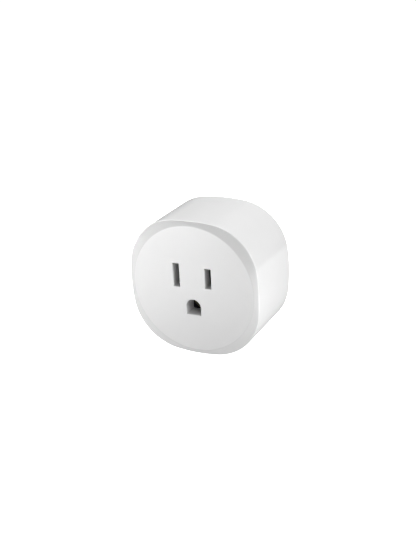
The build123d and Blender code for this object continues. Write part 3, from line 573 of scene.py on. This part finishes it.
@dataclass
class FrontHousing:
    """The white moulding: side wall, sloped band, round face, three passages, collars, bosses and ribs."""

    case: CaseShape
    outlet: OutletShape
    face_radius: float = 24.1
    rim_fall: float = 0.70
    rim_spread: float = 0.107
    rim_round: float = 0.42
    crown: float = 0.06
    face_round: float = 0.3
    flat_radius: float = 14.2
    back_round: float = 0.4
    inner_face: float = 27.6
    cover_thickness: float = 2.2
    button_place: tuple[float, float] = (0.0, 16.5)
    button_hole: float = 3.1
    pipe_place: tuple[float, float] = (7.0, 16.5)
    pipe_hole: float = 1.05
    boss_place: float = 16.83
    boss_radius: float = 2.5
    screw_hole: float = 1.12
    hole_depth: float = 9.0
    post_end: float = 8.7
    rib_end: float = 23.9

    def build(self) -> bpy.types.Object:
        """Joins the outer skin, the passages and the inside into one closed surface, and adds the bosses."""
        skin = Skin()
        wall_rows = self._outer(skin)
        self._side_wall(skin, wall_rows, self.case.draw_in)
        inner_rows = self._inner(skin)
        self._side_wall(skin, inner_rows, self.case.wall)
        self._side_holes(skin)
        self._passages(skin)
        self._bosses(skin)
        return skin.build("front_housing_skin")

    def face_height(self, ring: Points) -> Points:
        """The crowned face: its height falls with the fourth power of the distance from its middle."""
        reach = np.linalg.norm(ring, axis=1)
        return self.case.depth - self.crown * (reach / self.face_radius) ** 4

    def _outer(self, skin: Skin) -> list[Points]:
        """Back edge, rim, sloped band and face, out to the rings that the side wall starts and ends on.

        The rim falls behind the face by rim_fall, and by rim_spread more for each millimetre further
        out.  The band runs straight from the rounded rim to the round face's edge, which a parabola of
        half width face_round eases.

        Args:
            skin: the surface to add to.

        Returns:
            The side wall's rows of points, from the back edge to the rim.
        """
        case = self.case
        outline, d = case.outline, case.draw_in
        sines, lifts = quarter(6)
        back = [level(outline.ring(-case.rim_wall), 0.0)]
        back += [
            level(outline.ring(-d - self.back_round * (1 - s)), self.back_round * lift)
            for s, lift in zip(sines, lifts)
        ]
        skin.strip(back)

        edge = outline.ring(-d)
        reach = np.linalg.norm(edge, axis=1)
        inwards = -edge / reach[:, None]
        top = case.depth - self.crown
        rim_height = case.depth - self.rim_fall - self.rim_spread * (reach - case.half)
        run = reach - self.face_radius
        slope = np.arctan2(top - rim_height, run)
        tangent = self.rim_round * np.tan((math.pi / 2 - slope) / 2)
        rows = [
            level(edge + inwards * (self.rim_round * (1 - np.cos(t)))[:, None],
                  rim_height - tangent + self.rim_round * np.sin(t))
            for t in [(math.pi / 2 - slope) * share for share in np.linspace(0, 1, 7)]
        ]
        end = self.rim_round * (1 - np.sin(slope))
        w = self.face_round
        for share in (0.1, 0.3, 0.5, 0.7, 0.9, 1.0):
            inward = end + (run - w - end) * share
            rows.append(level(edge + inwards * inward[:, None], rim_height + np.tan(slope) * inward))
        for out in np.linspace(w, -w, 8)[1:]:
            ring = -inwards * (self.face_radius + out)
            flat_part = self.face_height(-inwards * min(self.face_radius, self.face_radius + out))
            rows.append(level(ring, flat_part - np.tan(slope) * ((out + w) ** 2 / (4 * w))))
        for radius in (*np.linspace(self.face_radius - w - 0.15, self.flat_radius + 0.5, 14), self.flat_radius):
            ring = -inwards * radius
            rows.append(level(ring, self.face_height(ring)))
        skin.strip(rows)
        self._face(skin, -inwards * self.flat_radius)
        start, stop = self.back_round, -rows[0][:, 1]
        return [level(edge, start + (stop - start) * share) for share in np.linspace(0, 1, 25)]

    def _face(self, skin: Skin, flat: Points) -> None:
        """The middle of the face between its last ring and the openings' own rings."""
        openings = [*self.outlet.slots(), self.outlet.ground()]
        guard = self.outlet.lip + 0.35
        holes = [opening.ring(guard) for opening in openings]
        x, z = np.meshgrid(np.arange(-13.0, 13.1, 1.0), np.arange(-13.0, 13.1, 1.0))
        within = np.stack([x.ravel(), z.ravel()], 1)
        within = within[np.linalg.norm(within, axis=1) < self.flat_radius - 0.5]
        for opening in openings:
            within = within[~inside(within, opening.ring(guard + 0.3))]
        skin.fill(flat, holes, lambda p: level(p, self.face_height(p)), within)
        for opening in openings:
            rings = [opening.ring(g) for g in (guard, self.outlet.lip)]
            skin.strip([level(ring, self.face_height(ring)) for ring in rings])

    def _inner(self, skin: Skin) -> list[Points]:
        """The seat of the rear cover and the rows of the inner wall."""
        case = self.case
        seat, inner = case.outline.ring(-case.rim_wall), case.outline.ring(-case.wall)
        skin.strip([level(seat, 0.0), level(seat, self.cover_thickness), level(inner, self.cover_thickness)])
        span = np.linspace(self.cover_thickness, self.inner_face, 25)
        return [level(inner, height) for height in span]

    def _side_wall(self, skin: Skin, rows: list[Points], inset: float) -> None:
        """A wall's rows as a strip, but for the left side, which is filled round its two holes."""
        left = self.case.side_steps
        ring_end = [np.concatenate([row[left:], row[:1]]) for row in rows]
        skin.strip(ring_end, closed=False)
        grid = np.stack([row[: left + 1] for row in rows])[:, :, [2, 1]] * (1, -1)
        outer = np.concatenate([grid[0], grid[1:, -1], grid[-1, -2::-1], grid[-2:0:-1, 0]])
        lip = self.outlet.lip if inset < self.case.wall else 0.0
        holes = [hole.ring(lip) for hole in self._hole_outlines()]
        within = grid[1:-1, 1:-1].reshape(-1, 2)
        for place, radius in ((self.button_place, self.button_hole), (self.pipe_place, self.pipe_hole)):
            within = within[np.linalg.norm(within - place, axis=1) > radius + lip + 0.3]
        skin.fill(outer, holes, lambda p: np.stack([self.case.left_side(p[:, 0], inset), -p[:, 1], p[:, 0]], 1),
                  within)

    def _hole_outlines(self) -> list[Outline]:
        """The button's and the light pipe's holes, in the plane of z and height."""
        return [Outline.disc(self.button_place, self.button_hole, 64),
                Outline.disc(self.pipe_place, self.pipe_hole, 32)]

    def _side_holes(self, skin: Skin) -> None:
        """The two holes' walls, through the left side, with a rounded outer lip."""
        sines, lifts = quarter()
        lip = self.outlet.lip
        for hole in self._hole_outlines():
            rows = []
            for s, lift in zip(sines, lifts):
                ring = hole.ring(lip * (1 - s))
                x = self.case.left_side(ring[:, 0], self.case.draw_in) + lip * lift
                rows.append(np.stack([x, -ring[:, 1], ring[:, 0]], 1))
            ring = hole.ring()
            rows.append(np.stack([self.case.left_side(ring[:, 0], self.case.wall), -ring[:, 1], ring[:, 0]], 1))
            skin.strip(rows)

    def _passages(self, skin: Skin) -> None:
        """The openings' lips and walls, the collars round their inner ends, and the inner face."""
        outlet, depth = self.outlet, self.case.depth
        collar = Outline.slot((0.0, outlet.pole_line), 18.7, 12.1, 1.0)
        ground_collar = Outline.arch((0.0, outlet.ground_line), 4.54, 4.49)
        sines, lifts = quarter()
        groups = ((outlet.slots(), collar, outlet.slot_passage),
                  ([outlet.ground()], ground_collar, outlet.ground_passage))
        for openings, around, passage in groups:
            end = depth - passage
            for opening in openings:
                rows = []
                for s, lift in zip(sines, lifts):
                    ring = opening.ring(outlet.lip * (1 - s))
                    rows.append(level(ring, self.face_height(ring) - outlet.lip * lift))
                rows += [level(opening.ring(), h) for h in np.linspace(depth - outlet.lip - 0.3, end + 0.3, 5)]
                rows.append(level(opening.ring(), end))
                skin.strip(rows)
            skin.fill(around.ring(), [o.ring() for o in openings], lambda p, e=end: level(p, e))
            skin.strip([level(around.ring(), end), level(around.ring(), self.inner_face)])
        inner = self.case.outline.ring(-self.case.wall)
        skin.fill(inner, [collar.ring(), ground_collar.ring()], lambda p: level(p, self.inner_face))

    def _bosses(self, skin: Skin) -> None:
        """Four screw bosses, four posts that press the board and two ribs that guide the small board."""
        low, top = self.cover_thickness, self.inner_face
        for x in (-self.boss_place, self.boss_place):
            for z in (-self.boss_place, self.boss_place):
                skin.strip(lathe((x, 0.0, z), "y", (
                    (0.0, top), (self.boss_radius, top), (self.boss_radius, low + 0.1),
                    (self.boss_radius - 0.1, low), (self.screw_hole + 0.2, low),
                    (self.screw_hole, low + 0.2), (self.screw_hole, low + self.hole_depth),
                    (0.0, low + self.hole_depth + 0.5)), 40))
        end = self.post_end
        post = ((0.0, top), (1.2, top), (1.2, end + 0.1), (1.1, end), (0.0, end))
        for x, z in PRESS_POINTS:
            skin.strip(lathe((x, 0.0, z), "y", post, 32))
        end = self.rib_end
        for x in (-17.1, -15.1):
            rib = Outline.slot((x, 0.0), 0.8, 6.0, 0.15)
            skin.strip([level(rib.ring(g), h) for g, h in ((0.0, top), (0.0, end + 0.15), (-0.12, end))])
            skin.fill(rib.ring(), [], lambda p: level(p, top))
            skin.fill(rib.ring(-0.12), [], lambda p: level(p, end))

    def finish(self) -> None:
        """Builds the housing and puts it in the place of its CAD node."""
        dress(self.build(), "case_white", "housing", "front_housing")


PRESS_POINTS = ((0.0, 21.25), (0.0, -21.25), (20.847, -12.0), (-20.847, -12.0))


@dataclass
class RearCover:
    """The inset back plate, its four screws and its posts."""

    case: CaseShape
    outlet: OutletShape
    thickness: float = 2.2
    edge: float = 0.2
    blade_gap: float = 0.05
    blades: tuple[float, float] = (7.9, 6.3)
    blade_thickness: float = 1.5
    pin_hole: float = 2.75
    screw_place: float = 16.83
    recess: float = 2.3
    recess_depth: float = 1.4
    shank_hole: float = 1.3
    head_flat: float = 1.62
    post_height: float = 7.0

    def _screw_places(self) -> list[tuple[float, float]]:
        """The four corners' screw axes."""
        ends = (-self.screw_place, self.screw_place)
        return [(x, z) for x in ends for z in ends]

    def plate(self) -> bpy.types.Object:
        """Two flat faces with their holes, the outer edge and the walls of the holes."""
        skin = Skin()
        outline, gap = self.case.outline, self.case.rim_wall + self.case.cover_gap
        e, t = self.edge, self.thickness
        skin.strip([level(outline.ring(g - gap), h) for g, h in
                    ((-e - 0.1, 0.0), (-e, 0.0), (-0.06, 0.06), (0.0, e), (0.0, t), (-0.3, t))])
        thick = self.blade_thickness + 2 * self.blade_gap
        through = [
            Outline.slot((side * self.outlet.pole_x, self.outlet.pole_line),
                         thick, width + 2 * self.blade_gap, 0.1, 4)
            for side, width in zip((-1, 1), self.blades)
        ]
        through.append(Outline.disc((0.0, self.outlet.ground_line), self.pin_hole))
        back_holes, front_holes = [], []
        for hole in through:
            skin.strip([level(hole.ring(g), h) for g, h in ((0.1, 0.0), (0.0, 0.1), (0.0, t))])
            back_holes.append(hole.ring(0.1))
            front_holes.append(hole.ring())
        for place in self._screw_places():
            recess, shank = (Outline.disc(place, r, 40) for r in (self.recess, self.shank_hole))
            skin.strip([level(recess.ring(g), h) for g, h in
                        ((0.08, 0.0), (0.0, 0.08), (0.0, self.recess_depth))]
                       + [level(shank.ring(), h) for h in (self.recess_depth, t)])
            back_holes.append(recess.ring(0.08))
            front_holes.append(shank.ring())
        skin.fill(outline.ring(-e - 0.1 - gap), back_holes, lambda p: level(p, 0.0))
        skin.fill(outline.ring(-0.3 - gap), front_holes, lambda p: level(p, t))
        end = self.post_height
        post = ((0.0, t), (1.2, t), (1.2, end - 0.1), (1.1, end), (0.0, end))
        for x, z in PRESS_POINTS:
            skin.strip(lathe((x, 0.0, z), "y", post, 32))
        return skin.build("rear_cover_plate")

    def screws(self) -> bpy.types.Object:
        """Four low domed heads with a tapered cross recess, and their threaded shanks."""
        skin = Skin()
        low, seat = self.recess_depth - 1.3, self.recess_depth
        turns = np.arange(0, 7.5, 0.2)
        thread = [(1.1 - 0.14 * abs(math.sin(math.pi * t / 0.8)), seat + t) for t in turns]
        for x, z in self._screw_places():
            cross = Outline.cross((x, z), 1.2, 0.25, 0.08)
            rim = [(self.head_flat, low), (1.9, low + 0.06), (2.05, low + 0.25), (2.1, low + 0.5), (2.1, seat),
                   (1.1, seat)]
            skin.strip(lathe((x, 0.0, z), "y", [*rim, *thread, (0.0, seat + 8.0)], 40))
            flat = Outline.disc((x, z), self.head_flat, 40)
            skin.fill(flat.ring(), [cross.ring()], lambda p: level(p, low))
            skin.strip([level(cross.ring(g), low + h) for g, h in ((0.0, 0.0), (-0.06, 0.7))])
            skin.fill(cross.ring(-0.06), [], lambda p: level(p, low + 0.7))
        return skin.build("cover_screw_set")

    def finish(self) -> None:
        """Puts the plate and the screws in the places of their CAD nodes."""
        dress(self.plate(), "cover_white", "housing", "rear_cover")
        dress(self.screws(), "screw_steel", "housing", "cover_screws")


@dataclass
class Plug:
    """Two flat blades with sloped tips and cross holes, and the round ground pin."""

    outlet: OutletShape
    length: float = 17.0
    root: float = 2.2
    half_thickness: float = 0.75
    tip: float = 1.6
    tip_cut: float = 0.45
    edge: float = 0.14
    hole_place: float = 11.7
    hole_radius: float = 1.6
    pin_radius: float = 2.4
    pin_length: float = 20.5

    def _face_x(self, along: Points) -> Points:
        """Half the blade's thickness, which falls in a straight line over the tip."""
        return self.half_thickness - self.tip_cut * np.clip((along - self.length + self.tip) / self.tip, 0, 1)

    def blade(self, name: str, side: int, width: float) -> bpy.types.Object:
        """One blade, its edges rounded by quarter circles, with the shoulder and tab behind the cover.

        Args:
            name: the piece's name.
            side: -1 for the left blade and 1 for the right one.
            width: the blade's width.

        Returns:
            The new piece.
        """
        skin = Skin()
        x, line = side * self.outlet.pole_x, self.outlet.pole_line
        body = Outline.slot(((self.length - self.root) / 2, line), self.length + self.root, width, 0.45)
        hole = Outline.disc((self.hole_place, line), self.hole_radius)
        sines, lifts = quarter(4)

        def sheet(ring: Points, way: int, sunk: float) -> Points:
            """A ring on one face of the blade, sunk below it by a little."""
            return np.stack([x + way * (self._face_x(ring[:, 0]) - sunk), ring[:, 0], ring[:, 1]], 1)

        e = self.edge
        steps = [(-e * (1 - s), e * lift) for s, lift in zip(sines, lifts)]
        skin.strip([sheet(body.ring(g), 1, sunk) for g, sunk in [(-e - 0.25, 0.0), *steps]]
                   + [sheet(body.ring(g), -1, sunk) for g, sunk in [*steps[::-1], (-e - 0.25, 0.0)]])
        skin.strip([sheet(hole.ring(-g), 1, sunk) for g, sunk in [(-0.4, 0.0), *steps]]
                   + [sheet(hole.ring(-g), -1, sunk) for g, sunk in [*steps[::-1], (-0.4, 0.0)]])
        along, across = np.meshgrid(np.append(np.arange(0.0, 15.0, 1.2), (15.4, 15.8, 16.2)),
                                    np.linspace(-width / 2 + 0.9, width / 2 - 0.9, 7) + line)
        within = np.stack([along.ravel(), across.ravel()], 1)
        within = within[np.linalg.norm(within - (self.hole_place, line), axis=1) > self.hole_radius + 0.7]
        for way in (1, -1):
            skin.fill(body.ring(-e - 0.25), [hole.ring(0.4)], lambda p, w=way: sheet(p, w, 0.0), within)
        for low, high, centre, wide in ((2.2, 3.4, line, width + 2.4), (3.4, 9.2, line + 2.2, 2.4)):
            bar = Outline.slot((x, centre), 2 * self.half_thickness, wide, 0.1, 3)
            skin.strip([level(bar.ring(), low), level(bar.ring(), high)])
            for height in (low, high):
                skin.fill(bar.ring(), [], lambda p, h=height: level(p, h))
        return skin.build(name)

    def pin(self) -> bpy.types.Object:
        """The turned ground pin: rounded tip, shank, collar, flange and spigot."""
        nose = 2.16
        sines, lifts = quarter(9)
        tip = [(self.pin_radius - nose + nose * s, -self.pin_length + nose * lift)
               for s, lift in zip(sines, lifts)]
        collar = [(2.62, 0.0), (2.7, 0.08), (2.7, 2.2)]
        flange = [(3.5, 2.2), (3.6, 2.3), (3.6, 3.3), (3.5, 3.4)]
        spigot = [(1.5, 3.4), (1.5, 4.6), (1.3, 4.8), (0.0, 4.8)]
        profile = [(0.0, -self.pin_length), *tip, (self.pin_radius, -0.02), *collar, *flange, *spigot]
        skin = Skin()
        skin.strip(lathe((0.0, 0.0, self.outlet.ground_line), "y", profile, 64))
        return skin.build("ground_pin_turned")

    def finish(self) -> None:
        """Puts the blades and the pin in the places of their CAD nodes."""
        dress(self.blade("neutral_blade_stamped", -1, 7.9), "plated_brass", "housing", "neutral_blade")
        dress(self.blade("hot_blade_stamped", 1, 6.3), "plated_brass", "housing", "hot_blade")
        dress(self.pin(), "plated_brass", "housing", "ground_pin")


@dataclass
class SideControls:
    """The round button and the light pipe in the left wall."""

    height: float = 16.5
    lamp_z: float = 7.0
    flange_x: float = -23.0

    def button(self) -> bpy.types.Object:
        """A turned cap: a shallow dish for the fingertip, a rounded edge, a flange and a stem."""
        low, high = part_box("button_cap")
        face, stem = low.x / MM, high.x / MM
        dish = [(r, 0.16 * (1 - (r / 2.45) ** 2) ** 2) for r in np.linspace(0, 2.45, 9)]
        edge = [(2.7 + 0.3 * s, 0.3 * lift) for s, lift in zip(*quarter())]
        length = stem - face
        rest = [(3.0, 2.15), (3.75, 2.2), (3.8, 2.3), (3.8, 3.2), (3.7, 3.3), (3.0, 3.3),
                (3.0, length - 0.1), (2.9, length), (0.0, length)]
        skin = Skin()
        skin.strip(lathe((face, -self.height, 0.0), "x", dish + edge + rest, 64))
        return skin.build("button_cap_moulded")

    def pipe(self) -> bpy.types.Object:
        """A clear turned rod with a low dome, held by a flange inside the wall."""
        low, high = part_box("light_pipe")
        start, end = low.x / MM, high.x / MM
        dome = [(r, 0.12 * (r / 0.95) ** 2) for r in np.linspace(0, 0.95, 7)]
        length, flange = end - start, self.flange_x - start
        rest = [(1.0, 0.2), (1.0, flange - 0.2), (1.55, flange - 0.2), (1.6, flange - 0.1), (1.6, flange + 0.5),
                (1.0, flange + 0.55), (1.0, length - 0.1), (0.9, length), (0.0, length)]
        skin = Skin()
        skin.strip(lathe((start, -self.height, self.lamp_z), "x", dome + rest, 40))
        return skin.build("light_pipe_moulded")

    def finish(self) -> None:
        """Puts both in the places of their CAD nodes."""
        dress(self.button(), "button_white", "button", "button_cap")
        dress(self.pipe(), "light_pipe_clear", "housing", "light_pipe")


# ---- inside --------------------------------------------------------------------------------------
@dataclass
class CarriedParts:
    """The CAD nodes that stay as they are and take their record slot's finish."""

    slots: dict[str, str] = field(init=False)

    def __post_init__(self) -> None:
        """Reads which slot each node has."""
        self.slots = {row["node"]: row["material_slot"] for row in frame["record"]["subparts"]}

    def finish(self) -> None:
        """Gives every node that still shows its procedural finish."""
        for name, node in sorted(frame["nodes"].items()):
            if not node.hide_render:
                node.data.materials.clear()
                node.data.materials.append(FINISHES[self.slots[name]].material())
                log.info("%s: carried over as %s", name, self.slots[name])


# ---- studio --------------------------------------------------------------------------------------
@dataclass(frozen=True)
class SoftLight:
    """A square area light that lights the case without being seen.

    Attributes:
        name: What the light does.
        place: Where its middle stands, in metres.
        back: The direction its back looks.
        side: The length of its side, in metres.
        glow: How bright its face is, where 1 is plain white.
    """

    name: str
    place: tuple[float, float, float]
    back: tuple[float, float, float]
    side: float
    glow: float

    @classmethod
    def box(cls, name: str, azimuth: float, elevation: float, side: float, glow: float) -> "SoftLight":
        """A light on a stand 0.6 m off, aimed at the middle of the case.

        Args:
            name: What the light does.
            azimuth: Degrees round from the front of the case, towards its right.
            elevation: Degrees above the middle of the case.
            side: The length of its side, in metres.
            glow: How bright its face is.

        Returns:
            The light.
        """
        a, e = math.radians(azimuth), math.radians(elevation)
        back = (math.sin(a) * math.cos(e), -math.cos(a) * math.cos(e), math.sin(e))
        return cls(name, tuple(0.6 * b + m for b, m in zip(back, (0.0, -0.015, 0.0))), back, side, glow)

    @classmethod
    def table(cls, name: str, x: float, y: float, side: float, glow: float) -> "SoftLight":
        """A lit patch of the white table top, facing up.

        Args:
            name: Which patch it is.
            x: Its middle, in metres to the right of the case.
            y: Its middle, in metres behind the back of the case.
            side: The length of its side, in metres.
            glow: How bright the patch is.

        Returns:
            The light.
        """
        return cls(name, (x, y, -0.0275), (0.0, 0.0, -1.0), side, glow)

    def build(self) -> bpy.types.Object:
        """Adds the light, with the power that gives its face the wanted brightness."""
        data = bpy.data.lights.new(self.name, "AREA")
        data.shape, data.size, data.energy = "SQUARE", self.side, self.glow * self.side**2 * math.pi
        light = bpy.data.objects.new(self.name, data)
        bpy.context.scene.collection.objects.link(light)
        light.location = self.place
        light.rotation_mode = "QUATERNION"
        light.rotation_quaternion = Vector(self.back).to_track_quat("Z", "Y")
        light.visible_camera = False
        return light


@dataclass
class Studio:
    """The camera, the soft lights, the pale surround and the floor."""

    aim: tuple[float, float, float] = (6.566, -30.0, 5.620)
    distance: float = 327.26
    azimuth: float = 27.103
    elevation: float = 22.583
    roll: float = -3.019
    lens: float = 59.70
    floor_half: float = 1.5
    ambient: float = 0.03
    lights: tuple[SoftLight, ...] = (
        SoftLight("left_card", (-0.10, -0.06, 0.02), (-0.785, -0.588, 0.196), 0.04, 14.6),
        SoftLight.box("rim_box", 240.0, 35.0, 0.45, 3.5),
        SoftLight.box("top_box", 180.0, 62.0, 0.45, 4.2),
        SoftLight.box("edge_lamp", -48.0, 55.0, 0.07, 12.0),
        SoftLight.box("right_key", 60.0, 35.0, 0.50, 2.2),
        SoftLight.box("right_fill", 90.0, 8.0, 0.55, 1.9),
        SoftLight.box("low_front_lamp", -30.0, -14.0, 0.10, 5.8),
        SoftLight.box("front_lamp", -30.0, 2.0, 0.10, 4.2),
        SoftLight.box("middle_front_lamp", -15.0, 2.0, 0.10, 0.4),
        SoftLight.table("table_front_left", -0.12, -0.255, 0.12, 8.4),
        SoftLight.table("table_right", 0.09, -0.045, 0.06, 4.5),
        SoftLight.table("table_front", -0.03, -0.105, 0.06, 1.4),
        SoftLight.table("table_front_right", 0.03, -0.105, 0.06, 0.8),
        SoftLight.table("table_far_front", 0.03, -0.165, 0.06, 0.9),
        SoftLight.table("table_under", 0.0, -0.015, 0.12, 0.6),
        SoftLight.table("table_behind_right", 0.12, 0.105, 0.12, 0.5),
        SoftLight.table("table_behind", 0.0, 0.105, 0.12, 0.5),
    )

    def camera(self) -> None:
        """Stands back from the aim point on its direction, then rolls about the line of sight."""
        a, e = math.radians(self.azimuth), math.radians(self.elevation)
        back = Vector((math.sin(a) * math.cos(e), -math.cos(a) * math.cos(e), math.sin(e)))
        right = Vector((math.cos(a), math.sin(a), 0.0))
        turn = Matrix.Rotation(math.radians(self.roll), 3, back)
        right = turn @ right
        up = back.cross(right)
        data = bpy.data.cameras.new("camera")
        data.lens, data.sensor_width, data.clip_start, data.clip_end = self.lens, 36.0, 0.01, 10.0
        camera = bpy.data.objects.new("camera", data)
        bpy.context.scene.collection.objects.link(camera)
        place = (Vector(self.aim) + back * self.distance) * MM
        camera.matrix_world = Matrix.Translation(place) @ Matrix((right, up, back)).transposed().to_4x4()
        bpy.context.scene.camera = camera

    def surround(self) -> None:
        """An even pale light from all round, seen as plain white behind the case."""
        world = bpy.data.worlds.new("surround")
        bpy.context.scene.world = world
        world.use_nodes = True
        graph, nodes = Graph(world.node_tree), world.node_tree.nodes
        light, seen, mix = nodes["Background"], graph.add("Background"), graph.add("MixShader")
        light.inputs["Color"].default_value = (1, 1, 1, 1)
        light.inputs["Strength"].default_value = self.ambient
        seen.inputs["Color"].default_value = (1, 1, 1, 1)
        graph.join(graph.add("LightPath").outputs["Is Camera Ray"], mix.inputs["Fac"])
        graph.join(light.outputs["Background"], mix.inputs[1])
        graph.join(seen.outputs["Background"], mix.inputs[2])
        graph.join(mix.outputs["Shader"], nodes["World Output"].inputs["Surface"])

    def floor(self) -> None:
        """A plain white table top just under the case, as bright as the surround."""
        low = -25.9 * MM
        h = self.floor_half
        mesh = bpy.data.meshes.new("floor")
        mesh.from_pydata([(-h, -h, low), (h, -h, low), (h, h, low), (-h, h, low)], [], [(0, 1, 2, 3)])
        floor = bpy.data.objects.new("floor", mesh)
        bpy.context.scene.collection.objects.link(floor)
        white = bpy.data.materials.new("floor_white")
        white.use_nodes = True
        shader = white.node_tree.nodes["Principled BSDF"]
        shader.inputs["Base Color"].default_value = (0.9, 0.9, 0.9, 1)
        shader.inputs["Roughness"].default_value = 0.9
        shader.inputs["Emission Color"].default_value = (1, 1, 1, 1)
        shader.inputs["Emission Strength"].default_value = 1.0
        mesh.materials.append(white)
        floor.visible_diffuse = floor.visible_glossy = floor.visible_shadow = False
        floor.visible_transmission = False

    def build(self) -> None:
        """Sets up the whole studio with a plain view transform."""
        self.camera()
        self.surround()
        self.floor()
        for light in self.lights:
            light.build()
        bpy.context.scene.view_settings.view_transform = "Standard"


def main() -> None:
    """Builds the pieces in order, from the case inwards, then the studio round them."""
    logging.basicConfig(level=logging.INFO, format="%(name)s: %(message)s")
    case, outlet = CaseShape(), OutletShape()
    for assembly in (FrontHousing(case, outlet), RearCover(case, outlet), Plug(outlet), SideControls(),
                     CarriedParts()):
        log.info("building %s", type(assembly).__name__)
        assembly.finish()
    Studio().build()


if __name__ == "__main__":
    main()
